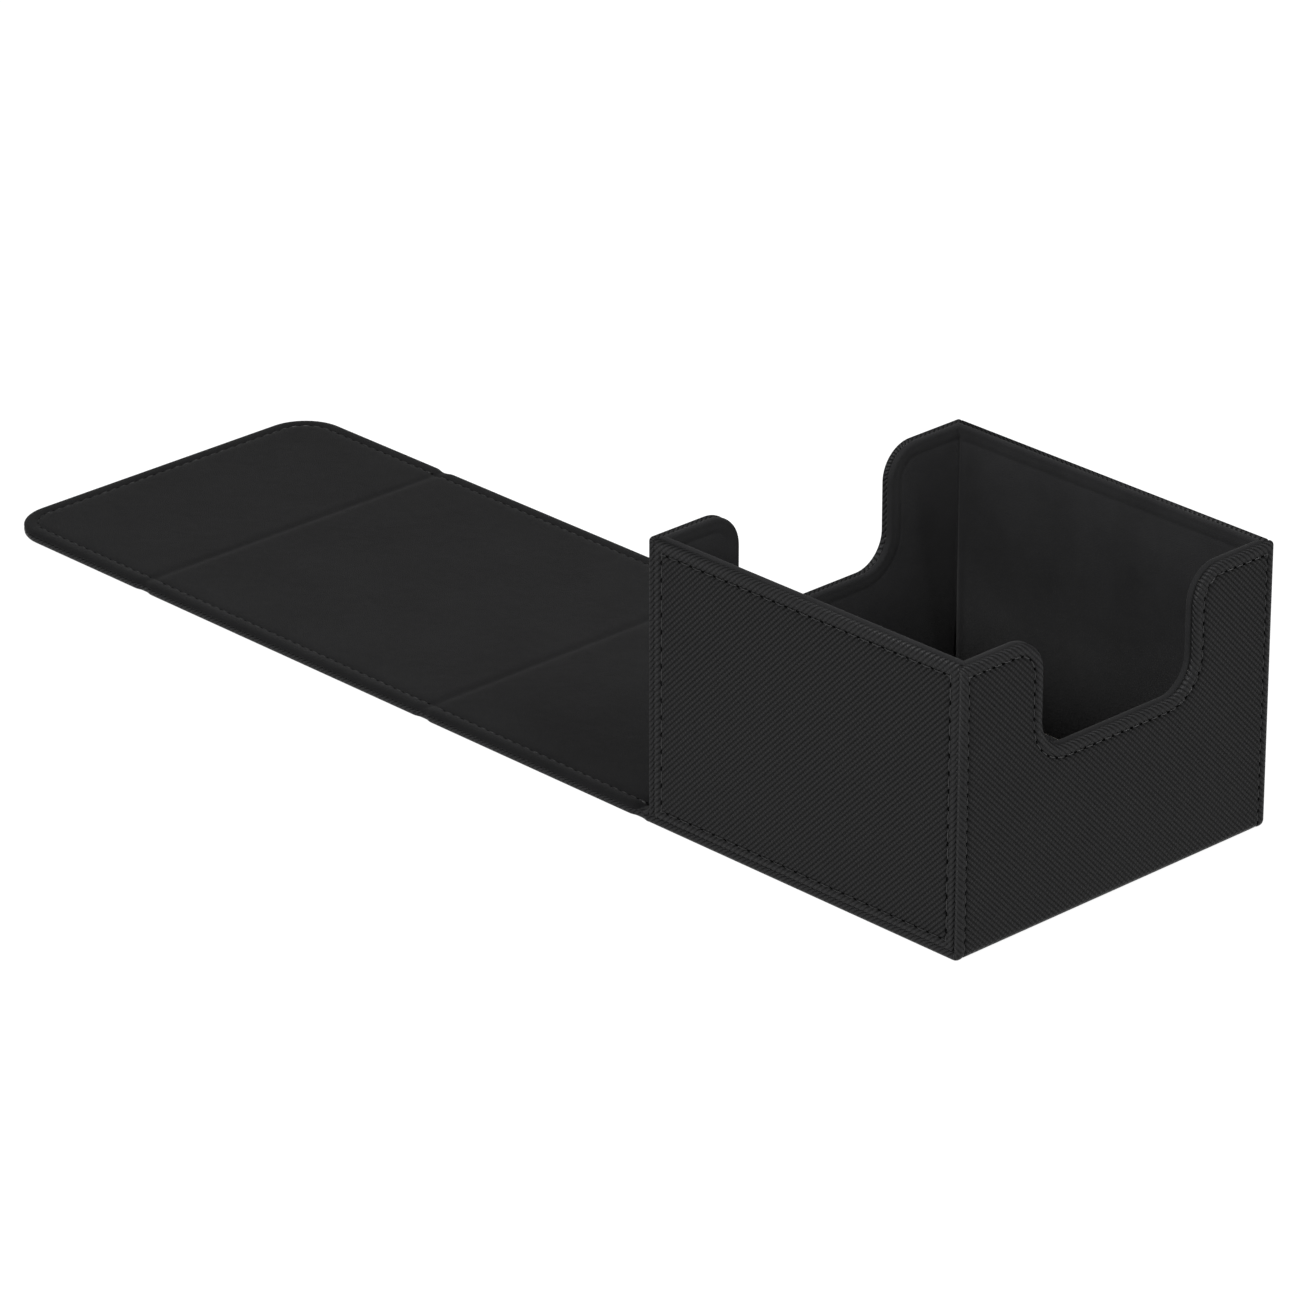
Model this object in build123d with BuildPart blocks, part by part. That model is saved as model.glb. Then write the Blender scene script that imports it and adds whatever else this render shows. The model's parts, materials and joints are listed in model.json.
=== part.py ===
"""Side-loading card deck box with a three-panel fold-over cover, lying open.

The box is chipboard covered in embossed leatherette outside and microfibre inside.
One sheet of leatherette runs from the right wall under the base and out to the left,
where it becomes the cover: a side panel, a top panel and a magnetic end flap, joined
by thin leatherette hinges. The origin is the middle of the underside of the base,
+X points away from the cover, +Y runs along the hinges and +Z is up. Millimetres.
"""
import os

from build123d import *

# Driving sizes of the box
box_width = 101.6  # X, outside
box_depth = 103.0  # Y, outside
box_height = 73.4  # Z, outside
cover_length = 237.4  # left wall to the free end of the cover, opened flat

# Layers: a leatherette skin outside, chipboard, a microfibre lining inside
skin = 0.6
lining = 0.6
wall_board = 2.4
base_board_thick = 1.6
panel_board_thick = 1.8
wall_thick = skin + wall_board + lining
wall_foot = skin + base_board_thick  # height at which the walls stand on the base
floor_top = wall_foot + lining
panel_thick = skin + panel_board_thick + lining
turn_over = 1.9  # how far a wall's skin is turned over its edges
panel_seam = 1.5  # height of the seam between skin and lining on a panel's edge

# Thumb cut-outs in the left and right walls
cutout_width = 50.0
cutout_floor = 43.7
cutout_lip_radius = 9.0
cutout_floor_radius = 8.5

# Sewing
seam_inset = 3.1
cover_seam_inset = 3.4
thread_wide = 0.5
thread_deep = 0.25
front_seam_low = 4.4  # height of the lowest stitches on the front and back walls
corner_seam_inset = 4.1  # from the box's corner to the seam on the front and back walls

# Cover
end_corner_radius = 12.0
closing_gap = 0.3  # between the closed cover and the box, on each side
crease_height = 1.0  # height of the fold line of the middle hinge
crease_half = 2.9  # half the width of a hinge strip
crease_notch = 0.4  # how much narrower a hinge strip is than the cover, at each end
base_hinge_reach = 5.5  # left wall to the start of the side panel

# Magnets
magnet_radius = 5.0
magnet_thick = 1.2
magnet_spacing = 54.0
magnet_height = 28.0  # above the base, when the cover is closed

# Places that follow from the sizes
left, right = -box_width / 2, box_width / 2
half_depth = box_depth / 2
base_fold_x = left - panel_thick - closing_gap
side_length = box_height + closing_gap + panel_thick - crease_height
top_fold_x = base_fold_x - side_length
closed_top_fold_x = base_fold_x + crease_height
top_length = right + closing_gap - closed_top_fold_x
end_fold_x = top_fold_x - top_length
cover_end_x = left - cover_length
end_magnet_x = end_fold_x - (box_height + closing_gap - magnet_height)

side_panel_span = (top_fold_x + crease_half, left - base_hinge_reach)
top_panel_span = (end_fold_x + crease_half, top_fold_x - crease_half)
end_flap_span = (cover_end_x, end_fold_x - crease_half)

# Each wall's plane lies on its outer face, with +Y up and its normal into the box
front_plane = Plane((0, -half_depth, 0), x_dir=(-1, 0, 0), z_dir=(0, 1, 0))
back_plane = Plane((0, half_depth, 0), x_dir=(1, 0, 0), z_dir=(0, -1, 0))
left_plane = Plane((left, 0, 0), x_dir=(0, 1, 0), z_dir=(1, 0, 0))
right_plane = Plane((right, 0, 0), x_dir=(0, -1, 0), z_dir=(-1, 0, 0))

os.makedirs("parts", exist_ok=True)


def save(piece, label):
    """Label a finished piece and write it to its own STEP file."""
    piece.part.label = label
    export_step(piece.part, f"parts/{label}.step")
    size = piece.part.bounding_box().size
    print(f"{label:20s} {size.X:7.1f} {size.Y:7.1f} {size.Z:6.1f}  {piece.part.volume:9.1f} mm3")


def slab(low, high, half_width, mode=Mode.ADD):
    """A rectangle centred on x = 0 of the sketch, between two heights."""
    with Locations((0, (low + high) / 2)):
        Rectangle(2 * half_width, high - low, mode=mode)


def side_outline(inset=0.0, mode=Mode.ADD):
    """A side wall's outline, drawn in from its top, ends and cut-out by inset."""
    half_cut = cutout_width / 2 + inset
    top = box_height - inset
    lip = cutout_lip_radius - inset
    bottom = cutout_floor_radius + inset
    with BuildSketch(mode=Mode.PRIVATE) as outline:
        slab(wall_foot, top, half_depth - inset)
        slab(cutout_floor - inset, top, half_cut, mode=Mode.SUBTRACT)
        lips = outline.vertices().filter_by(lambda v: abs(abs(v.X) - half_cut) < 0.01)
        fillet(lips.filter_by(lambda v: v.Y > top - 0.01), lip)
        corners = outline.vertices().filter_by(lambda v: abs(abs(v.X) - half_cut) < 0.01)
        fillet(corners.filter_by(lambda v: v.Y < cutout_floor), bottom)
    add(outline.sketch, mode=mode)


def cover_outline(span, inset=0.0, rounded=False, mode=Mode.ADD):
    """A panel's outline, drawn in from its free edges by inset."""
    low, high = span
    if rounded:
        low += inset
    with BuildSketch(mode=Mode.PRIVATE) as outline:
        with Locations(((low + high) / 2, 0)):
            Rectangle(high - low, box_depth - 2 * inset)
        if rounded:
            free_corners = outline.vertices().group_by(Axis.X)[0]
            fillet(free_corners, end_corner_radius - inset)
    add(outline.sketch, mode=mode)


# ---------------------------------------------------------------- base
bend = wall_foot  # outer radius where the sheet turns up into the right wall

with BuildPart() as base_skin:
    with BuildSketch(Plane.XZ.offset(-half_depth)):
        with BuildLine():
            Polyline((right, wall_foot), (right - skin, wall_foot))
            RadiusArc((right - skin, wall_foot), (right - bend, skin), bend - skin)
            Polyline((right - bend, skin), (left, skin), (left, 0), (right - bend, 0))
            RadiusArc((right - bend, 0), (right, wall_foot), -bend)
        make_face()
    extrude(amount=box_depth)
    for end_plane in (Plane.XZ.offset(half_depth), Plane.XZ.offset(skin - half_depth)):
        with BuildSketch(end_plane):
            with BuildLine():
                RadiusArc((right - bend, 0), (right, wall_foot), -bend)
                Polyline((right, wall_foot), (left, wall_foot), (left, 0), (right - bend, 0))
            make_face()
        extrude(amount=-skin)
    with BuildSketch():
        with Locations((left + skin / 2, 0)):
            Rectangle(skin, box_depth)
    extrude(amount=wall_foot)
save(base_skin, "base_skin")

with BuildPart() as base_board:
    with BuildSketch(Plane.XY.offset(skin)):
        with Locations(((left + skin + right - bend) / 2, 0)):
            Rectangle(box_width - skin - bend, box_depth - 2 * skin)
    extrude(amount=base_board_thick)
save(base_board, "base_board")

with BuildPart() as base_lining:
    with BuildSketch(Plane.XY.offset(wall_foot)):
        Rectangle(box_width - 2 * wall_thick, box_depth - 2 * wall_thick)
    extrude(amount=lining)
save(base_lining, "base_lining")


# ---------------------------------------------------------------- front and back walls
def straight_wall(name, face):
    """The skin, board, lining and sewing of a plain wall standing between the side walls."""
    half_width = box_width / 2 - turn_over
    seam_half = box_width / 2 - corner_seam_inset
    seam_top = box_height - seam_inset
    top = box_height - skin

    with BuildPart() as thread:
        with BuildSketch(face):
            slab(front_seam_low, seam_top, seam_half)
            slab(front_seam_low + thread_wide, seam_top - thread_wide,
                 seam_half - thread_wide, mode=Mode.SUBTRACT)
        extrude(amount=thread_deep)
    save(thread, f"{name}_stitching")

    with BuildPart() as cover:
        with BuildSketch(face):
            slab(wall_foot, box_height, half_width)
        extrude(amount=skin)
        with BuildSketch(face):
            slab(top, box_height, half_width)
        extrude(amount=turn_over)
        add(thread.part, mode=Mode.SUBTRACT)
    save(cover, f"{name}_skin")

    with BuildPart() as board:
        with BuildSketch(face.offset(skin)):
            slab(wall_foot, top, half_width)
        extrude(amount=wall_board)
    save(board, f"{name}_board")

    inner_half = box_width / 2 - wall_thick
    with BuildPart() as inside:
        with BuildSketch(face.offset(skin + wall_board)):
            slab(floor_top, box_height, inner_half)
        extrude(amount=lining)
        with BuildSketch(face.offset(turn_over)):
            slab(top, box_height, inner_half)
        extrude(amount=wall_thick - turn_over)
    save(inside, f"{name}_lining")


straight_wall("front_wall", front_plane)
straight_wall("back_wall", back_plane)


# ---------------------------------------------------------------- left and right walls
def cutout_wall(name, face, magnets=None):
    """The skin, board, lining and sewing of a side wall with its thumb cut-out."""
    with BuildPart() as thread:
        with BuildSketch(face):
            side_outline(seam_inset)
            side_outline(seam_inset + thread_wide, mode=Mode.SUBTRACT)
        extrude(amount=thread_deep)
    save(thread, f"{name}_stitching")

    with BuildPart() as cover:
        with BuildSketch(face):
            side_outline()
        extrude(amount=skin)
        with BuildSketch(face.offset(skin)):
            side_outline()
            side_outline(skin, mode=Mode.SUBTRACT)
        extrude(amount=turn_over - skin)
        add(thread.part, mode=Mode.SUBTRACT)
    save(cover, f"{name}_skin")

    core_half = half_depth - skin - wall_board
    with BuildPart() as board:
        with BuildSketch(face.offset(skin)):
            side_outline(skin)
        extrude(amount=turn_over - skin)
        with BuildSketch(face.offset(turn_over)):
            side_outline(skin)
            slab(wall_foot, box_height, core_half, mode=Mode.INTERSECT)
        extrude(amount=skin + wall_board - turn_over)
        if magnets:
            add(magnets.part, mode=Mode.SUBTRACT)
    save(board, f"{name}_board")

    corner_half = half_depth - turn_over
    with BuildPart() as inside:
        with BuildSketch(face.offset(turn_over)):
            side_outline()
            side_outline(skin, mode=Mode.SUBTRACT)
            slab(wall_foot, box_height, corner_half, mode=Mode.INTERSECT)
        extrude(amount=skin + wall_board - turn_over)
        with BuildSketch(face.offset(skin + wall_board)):
            side_outline()
            slab(floor_top, box_height - skin, core_half, mode=Mode.INTERSECT)
        extrude(amount=lining)
        with BuildSketch(face.offset(skin + wall_board)):
            side_outline()
            slab(box_height - skin, box_height, corner_half, mode=Mode.INTERSECT)
        extrude(amount=lining)
    save(inside, f"{name}_lining")


with BuildPart() as wall_magnets:
    with BuildSketch(right_plane.offset(skin)):
        with Locations((-magnet_spacing / 2, magnet_height), (magnet_spacing / 2, magnet_height)):
            Circle(magnet_radius)
    extrude(amount=magnet_thick)
save(wall_magnets, "wall_magnets")

cutout_wall("left_wall", left_plane)
cutout_wall("right_wall", right_plane, magnets=wall_magnets)


# ---------------------------------------------------------------- cover panels
def cover_panel(name, span, rounded=False, magnets=None):
    """The skin, board, lining and sewing of one panel of the cover, lying flat."""
    low, high = span
    board_low = low + (0 if rounded else skin)

    with BuildPart() as thread:
        with BuildSketch(Plane.XY.offset(panel_thick)):
            cover_outline(span, cover_seam_inset, rounded)
            cover_outline(span, cover_seam_inset + thread_wide, rounded, mode=Mode.SUBTRACT)
        extrude(amount=-thread_deep)
    save(thread, f"{name}_stitching")

    with BuildPart() as cover:
        with BuildSketch():
            cover_outline(span, 0, rounded)
        extrude(amount=skin)
        with BuildSketch(Plane.XY.offset(skin)):
            cover_outline(span, 0, rounded)
            cover_outline(span, skin, rounded, mode=Mode.SUBTRACT)
        extrude(amount=panel_seam - skin)
    save(cover, f"{name}_skin")

    with BuildPart() as board:
        with BuildSketch(Plane.XY.offset(skin)):
            cover_outline((board_low, high - skin), skin, rounded)
        extrude(amount=panel_board_thick)
        if magnets:
            add(magnets.part, mode=Mode.SUBTRACT)
    save(board, f"{name}_board")

    with BuildPart() as inside:
        with BuildSketch(Plane.XY.offset(skin + panel_board_thick)):
            cover_outline(span, 0, rounded)
        extrude(amount=lining)
        with BuildSketch(Plane.XY.offset(panel_seam)):
            cover_outline(span, 0, rounded)
            cover_outline((board_low, high - skin), skin, rounded, mode=Mode.SUBTRACT)
        extrude(amount=skin + panel_board_thick - panel_seam)
        hinge_edges = [high - skin / 2] if rounded else [low + skin / 2, high - skin / 2]
        with BuildSketch(Plane.XY.offset(skin)):
            with Locations([(edge, 0) for edge in hinge_edges]):
                Rectangle(skin, box_depth - 2 * skin)
        extrude(amount=panel_board_thick)
        add(thread.part, mode=Mode.SUBTRACT)
    save(inside, f"{name}_lining")


with BuildPart() as flap_magnets:
    with BuildSketch(Plane.XY.offset(skin + panel_board_thick - magnet_thick)):
        with Locations((end_magnet_x, -magnet_spacing / 2), (end_magnet_x, magnet_spacing / 2)):
            Circle(magnet_radius)
    extrude(amount=magnet_thick)
save(flap_magnets, "flap_magnets")

cover_panel("side_panel", side_panel_span)
cover_panel("top_panel", top_panel_span)
cover_panel("end_flap", end_flap_span, rounded=True, magnets=flap_magnets)


# ---------------------------------------------------------------- leatherette hinges
def hinge_strip(name, low, high, valley):
    """The strip of skin between two panels, and the lining that dips over it."""
    strip_half = half_depth - crease_notch

    with BuildPart() as web:
        with BuildSketch():
            with Locations(((low + high) / 2, 0)):
                Rectangle(high - low, 2 * strip_half)
        extrude(amount=skin)
    save(web, f"{name}_skin")

    edge_top = skin + panel_board_thick
    with BuildPart() as dip:
        with BuildSketch(Plane.XZ.offset(-strip_half)):
            with BuildLine():
                Polyline((low, skin), (high, skin), (high, edge_top), (valley, edge_top / 2),
                         (low, edge_top), close=True)
            make_face()
        extrude(amount=2 * strip_half)
    save(dip, f"{name}_lining")


hinge_strip("base_hinge", left - base_hinge_reach, left, base_fold_x)
hinge_strip("top_hinge", top_fold_x - crease_half, top_fold_x + crease_half, top_fold_x)
hinge_strip("end_hinge", end_fold_x - crease_half, end_fold_x + crease_half, end_fold_x)

print(f"base fold x {base_fold_x:.2f} z 0, top fold x {top_fold_x:.2f} z {crease_height}, "
      f"end fold x {end_fold_x:.2f} z {panel_thick}")
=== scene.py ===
# %% [markdown]
# # A card deck box in embossed leatherette
# The object is a chipboard box for a deck of sleeved cards, lying open with its cover
# spread flat on a table. A ribbed leatherette wraps the outside, a brushed microfibre
# lines the inside, and a seam runs all along the edges. Here every skin, lining and
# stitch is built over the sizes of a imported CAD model, which is the fixed frame: its
# boards and magnets stay as they are, hidden inside.

import json
import math

import bmesh
import bpy
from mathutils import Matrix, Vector


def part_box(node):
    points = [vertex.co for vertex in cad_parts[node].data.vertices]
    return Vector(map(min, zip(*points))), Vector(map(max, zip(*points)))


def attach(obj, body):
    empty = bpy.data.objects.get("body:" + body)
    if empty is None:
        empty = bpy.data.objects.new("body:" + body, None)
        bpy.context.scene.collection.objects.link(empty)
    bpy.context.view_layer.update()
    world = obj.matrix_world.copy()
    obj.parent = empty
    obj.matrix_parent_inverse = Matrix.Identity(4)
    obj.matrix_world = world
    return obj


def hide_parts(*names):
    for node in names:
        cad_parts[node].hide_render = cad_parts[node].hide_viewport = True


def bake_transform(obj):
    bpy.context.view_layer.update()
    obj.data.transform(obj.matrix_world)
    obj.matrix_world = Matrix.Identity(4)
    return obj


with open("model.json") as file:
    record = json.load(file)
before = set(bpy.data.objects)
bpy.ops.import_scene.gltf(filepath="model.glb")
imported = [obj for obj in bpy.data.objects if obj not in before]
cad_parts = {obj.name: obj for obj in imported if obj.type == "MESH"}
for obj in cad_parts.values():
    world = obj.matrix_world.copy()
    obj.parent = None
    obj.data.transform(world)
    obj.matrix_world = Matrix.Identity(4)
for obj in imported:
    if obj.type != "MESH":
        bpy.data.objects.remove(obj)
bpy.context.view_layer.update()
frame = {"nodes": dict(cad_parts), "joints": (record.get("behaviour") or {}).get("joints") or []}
mm = 0.001

# %% [markdown]
# ## Sizes
# All the building below is done in millimetres, because cloth and board are measured
# that way, and only the finished points are turned into metres. The sizes come from the
# boxes of the CAD nodes, so each Blender piece lands exactly where its board lies.


# %% Sizes of the box and its cover
def node_box(node):
    """The lowest and highest corners of a CAD node, in millimetres."""
    low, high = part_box(node)
    return low / mm, high / mm


left = node_box("left_wall_skin")[0].x
right = node_box("right_wall_skin")[1].x
half_depth = node_box("right_wall_skin")[1].y
height = node_box("right_wall_skin")[1].z
wall_foot = node_box("front_wall_skin")[0].z
turn_over = right - node_box("right_wall_skin")[0].x
inner_right = node_box("base_lining")[1].x
inner_back = node_box("base_lining")[1].y
floor_top = node_box("base_lining")[1].z
panel_top = node_box("side_panel_lining")[1].z
panel_seam = node_box("side_panel_skin")[1].z + 0.3
skin_thick = node_box("top_hinge_skin")[1].z
spans = {}
for strip in ("side_panel", "top_panel", "end_flap", "base_hinge", "top_hinge", "end_hinge"):
    low, high = node_box(strip + "_skin")
    spans[strip] = (low.x, high.x)
fold_x = {joint["name"]: joint["pos_m"][0] / mm for joint in frame["joints"]}
print("box", round(right - left, 1), round(2 * half_depth, 1), round(height, 1))
print("strips of the cover", {name: [round(x, 1) for x in span] for name, span in spans.items()})

# %% [markdown]
# ## Camera
# The camera looks down on the open corner of the box from about a metre and three
# quarters away through a long lens, which keeps the edges of the box nearly parallel.

# %% Camera
camera_data = bpy.data.cameras.new("camera")
camera_data.sensor_width = 36.0
camera_data.lens = 209.0
camera_data.clip_start = 0.1
camera_data.clip_end = 50.0
camera = bpy.data.objects.new("camera", camera_data)
camera.location = (1.10225, -1.1527, 0.7706)
view_line = Vector((-0.6579, 0.6288, -0.4144))
camera.rotation_euler = view_line.to_track_quat("-Z", "Y").to_euler()
bpy.context.scene.collection.objects.link(camera)
bpy.context.scene.camera = camera
print("camera", round((camera.location - Vector((0, 0, 0.03))).length, 2), "m from the box")

# %% [markdown]
# ## Table and studio light
# A white table under an even sky makes a plain, clean backdrop. The table gives off its
# own light, so that it stays white without bright lamps. The strongest lamp stands to the
# front and a weaker one on the right, so that the rolled edges and the ribs have a lit
# side and a shaded side. Three faint lamps, behind, on the left and overhead, catch the
# other rims and the inside of the box.

# %% Table
table_mesh = bpy.data.meshes.new("table_top")
reach = 12.0
table_height = -0.0002
table_corners = [(-reach, -reach, table_height), (reach, -reach, table_height)]
table_corners += [(reach, reach, table_height), (-reach, reach, table_height)]
table_mesh.from_pydata(table_corners, [], [(0, 1, 2, 3)])
table = bpy.data.objects.new("table_top", table_mesh)
bpy.context.scene.collection.objects.link(table)

table_white = bpy.data.materials.new("table_white")
table_white.use_nodes = True
table_shader = table_white.node_tree.nodes["Principled BSDF"]
table_shader.inputs["Base Color"].default_value = (0.1, 0.1, 0.1, 1)
table_shader.inputs["Emission Color"].default_value = (1, 1, 1, 1)
table_shader.inputs["Emission Strength"].default_value = 0.95
table_shader.inputs["Roughness"].default_value = 0.9
table_shader.inputs["Specular IOR Level"].default_value = 0.1
table_mesh.materials.append(table_white)
print("table", 2 * reach, "m across")

# %% Sky and lamps
sky = bpy.data.worlds.new("studio_sky")
sky.use_nodes = True
sky.node_tree.nodes["Background"].inputs["Color"].default_value = (1, 1, 1, 1)
sky.node_tree.nodes["Background"].inputs["Strength"].default_value = 0.12
bpy.context.scene.world = sky
bpy.context.scene.view_settings.view_transform = "Standard"


box_middle = (0, 0, 0.04)


def soft_lamp(name, place, size, power):
    """A square area lamp at a place, turned towards the middle of the box."""
    lamp = bpy.data.lights.new(name, "AREA")
    lamp.size = size
    lamp.energy = power
    holder = bpy.data.objects.new(name, lamp)
    holder.location = place
    holder.rotation_euler = (Vector(box_middle) - Vector(place)).to_track_quat("-Z", "Y").to_euler()
    bpy.context.scene.collection.objects.link(holder)


soft_lamp("front_lamp", (0.35, -1.15, 0.85), 0.5, 31)
soft_lamp("side_lamp", (0.95, -0.12, 1.1), 0.5, 14)
soft_lamp("back_rim_lamp", (0.85, 0.9, 0.78), 0.5, 6)
soft_lamp("left_rim_lamp", (-0.85, -0.3, 0.93), 0.5, 3)
soft_lamp("top_lamp", (0.05, -0.1, 0.95), 0.4, 4)

# %% [markdown]
# ## Leatherette
# The cover material is vinyl pressed with fine slanting ribs about a millimetre apart,
# nicked across by a fainter second set. Ribs this fine would take millions of faces, so
# they are a height pattern in the material. The pattern reads a UV map called sheet, which
# holds each point's place on the flat sheet, in metres: where the sheet is folded over an
# edge, the ribs go round with it, as they do on the real thing. A second map called rim
# goes from 0 on the flat to 1 on the rolled edge, where the sheet is stretched over the
# board, so the ribs there are lower. The rolled edge is painted lighter, a painted
# highlight, and the valleys between the ribs are painted darker, a painted shade.


# %% Helpers for materials
def node(tree, kind, links=None, **settings):
    """Add a shader node, set its fields, and link or fill its inputs by number or name."""
    added = tree.nodes.new(kind)
    for field, value in settings.items():
        setattr(added, field, value)
    for socket, value in (links or {}).items():
        if isinstance(value, bpy.types.NodeSocket):
            tree.links.new(value, added.inputs[socket])
        else:
            added.inputs[socket].default_value = value
    return added


def maths(tree, operation, *values):
    """A Math node on sockets or plain numbers; returns its output."""
    return node(tree, "ShaderNodeMath", dict(enumerate(values)), operation=operation).outputs[0]


def new_finish(name, colour, roughness, specular):
    """A new material whose Principled shader has its plain settings made."""
    finish = bpy.data.materials.new(name)
    finish.use_nodes = True
    shader = finish.node_tree.nodes["Principled BSDF"]
    shader.inputs["Base Color"].default_value = (*colour, 1)
    shader.inputs["Roughness"].default_value = roughness
    shader.inputs["Specular IOR Level"].default_value = specular
    return finish, finish.node_tree, shader


print("material helpers are ready")

# %% Leatherette ribs
rib_pitch = 1.07 * mm
leatherette, tree, shader = new_finish("leatherette", (0.01, 0.01, 0.0103), 0.42, 0.055)
sheet_place = node(tree, "ShaderNodeUVMap", uv_map="sheet").outputs[0]
waviness = node(tree, "ShaderNodeTexNoise", {"Vector": sheet_place, "Scale": 60.0, "Detail": 1.0})
split = node(tree, "ShaderNodeSeparateXYZ", {0: sheet_place})
wander = maths(tree, "MULTIPLY", waviness.outputs["Fac"], 0.08 * mm)
across = maths(tree, "ADD", maths(tree, "ADD", split.outputs[0], split.outputs[1]), wander)
along = maths(tree, "SUBTRACT", split.outputs[0], split.outputs[1])
turns = math.pi / rib_pitch / math.sqrt(2)
rib = maths(tree, "ABSOLUTE", maths(tree, "SINE", maths(tree, "MULTIPLY", across, turns)))
nick = maths(tree, "ABSOLUTE", maths(tree, "SINE", maths(tree, "MULTIPLY", along, turns)))
rib_height = maths(tree, "SMOOTH_MIN", maths(tree, "MULTIPLY", rib, 1.15), 1.0, 0.3)
nick_height = maths(tree, "SMOOTH_MIN", maths(tree, "MULTIPLY", nick, 1.5), 1.0, 0.3)
nicked = maths(tree, "MULTIPLY", rib_height, maths(tree, "MULTIPLY_ADD", nick_height, 0.25, 0.75))
rim = node(tree, "ShaderNodeUVMap", uv_map="rim").outputs[0]
roll_mask = node(tree, "ShaderNodeSeparateXYZ", {0: rim}).outputs[0]
flatter = maths(tree, "MULTIPLY_ADD", roll_mask, -0.45, 1.0)
embossed = maths(tree, "MULTIPLY", nicked, flatter)
grain = node(tree, "ShaderNodeTexNoise", {"Vector": sheet_place, "Scale": 5200.0, "Detail": 2.0})
grained = maths(tree, "MULTIPLY_ADD", grain.outputs["Fac"], 0.03, embossed)
emboss = node(tree, "ShaderNodeBump", {"Height": grained, "Strength": 1.0, "Distance": 0.42 * mm})
tree.links.new(emboss.outputs[0], shader.inputs["Normal"])
print("leatherette ribs every", round(rib_pitch / mm, 2), "mm")

# %% Leatherette colour and gloss
worn = node(tree, "ShaderNodeTexNoise", {"Vector": sheet_place, "Scale": 45.0, "Detail": 3.0})
wear = maths(tree, "MULTIPLY_ADD", worn.outputs["Fac"], 0.3, 0.8)
# Painted highlight: the rolled edge is painted lighter, on top of the random wear tone.
rubbed = maths(tree, "MULTIPLY_ADD", roll_mask, 0.45, wear)
# Painted shade: the valleys between the ribs are painted darker; the noise adds random wear tone,
# and the rim a painted highlight.
groove_shade_wear_and_rim_highlight = maths(tree, "MULTIPLY", maths(tree, "POWER", nicked, 0.7), rubbed)
shade = node(tree, "ShaderNodeMix", {"Factor": groove_shade_wear_and_rim_highlight}, data_type="RGBA", clamp_factor=False)
# Colour A is the painted shade at the bottom of the rib valleys.
shade.inputs["A"].default_value = (0.0035, 0.0035, 0.0035, 1)
shade.inputs["B"].default_value = (0.0097, 0.0097, 0.01, 1)
tree.links.new(shade.outputs["Result"], shader.inputs["Base Color"])
gloss = maths(tree, "MULTIPLY_ADD", worn.outputs["Fac"], 0.16, 0.3)
tree.links.new(gloss, shader.inputs["Roughness"])
print("leatherette nodes", len(tree.nodes))

# %% [markdown]
# ## Microfibre
# The lining is a brushed cloth with a nap so short that only its shading shows: broad
# cloudy patches where the nap lies one way or the other, and a very fine speckle. It
# takes a little sheen, because fibres standing on edge catch the light. The cover's
# lining is painted darker than the lining in the box, a painted shade. The sheet map
# tells the two apart, because the cover's lining lies further left on it. On the rims
# the cloth is painted a little darker too, a painted shade. On the rims
# the cloth is pulled tight, which darkens it a little.

# %% Microfibre
microfibre, tree, shader = new_finish("microfibre", (0.02, 0.02, 0.021), 0.9, 0.04)
shader.inputs["Sheen Weight"].default_value = 0.03
shader.inputs["Sheen Roughness"].default_value = 0.45
sheet_place = node(tree, "ShaderNodeUVMap", uv_map="sheet").outputs[0]
clouds = node(tree, "ShaderNodeTexNoise", {"Vector": sheet_place, "Scale": 55.0, "Detail": 3.0})
streaks = node(tree, "ShaderNodeTexNoise", {"Vector": sheet_place, "Scale": 260.0, "Detail": 2.0})
speckle = node(tree, "ShaderNodeTexNoise", {"Vector": sheet_place, "Scale": 3600.0, "Detail": 2.0})
patch = maths(tree, "MULTIPLY_ADD", clouds.outputs["Fac"], 0.6, 0.0)
nap = maths(tree, "MULTIPLY_ADD", streaks.outputs["Fac"], 0.15, patch)
pile = maths(tree, "MULTIPLY_ADD", speckle.outputs["Fac"], 0.6, nap)
split = node(tree, "ShaderNodeSeparateXYZ", {0: sheet_place})
cover_begins = -55 * mm
# Painted shade: the cover's lining is painted darker than the lining in the box.
on_cover = maths(tree, "LESS_THAN", split.outputs[0], cover_begins)
painted_cover_shade = maths(tree, "MULTIPLY_ADD", on_cover, -0.68, 1.0)
pile = maths(tree, "MULTIPLY", pile, painted_cover_shade)
rim = node(tree, "ShaderNodeUVMap", uv_map="rim").outputs[0]
roll_mask = node(tree, "ShaderNodeSeparateXYZ", {0: rim}).outputs[0]
# Painted shade: the rims of the lining are painted a little darker.
pile = maths(tree, "MULTIPLY", pile, maths(tree, "MULTIPLY_ADD", roll_mask, -0.18, 1.0))
shade = node(tree, "ShaderNodeMix", {"Factor": pile}, data_type="RGBA")
shade.inputs["A"].default_value = (0.002, 0.002, 0.0021, 1)
shade.inputs["B"].default_value = (0.0155, 0.0155, 0.0161, 1)
tree.links.new(shade.outputs["Result"], shader.inputs["Base Color"])
relief = maths(tree, "MULTIPLY_ADD", streaks.outputs["Fac"], 0.6, speckle.outputs["Fac"])
brushed = node(tree, "ShaderNodeBump", {"Height": relief, "Strength": 0.8, "Distance": 0.2 * mm})
tree.links.new(brushed.outputs[0], shader.inputs["Normal"])
print("microfibre nodes", len(tree.nodes))

# %% [markdown]
# ## Thread, needle holes, chipboard and magnets
# The thread is a dark polyester with a slight shine, twisted from a few strands. The
# needle holes are only small dark pits, a painted shade for the depth of each hole. The
# chipboard and the nickel of the magnets are hidden inside the finished box, but each
# still gets its own finish.

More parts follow.
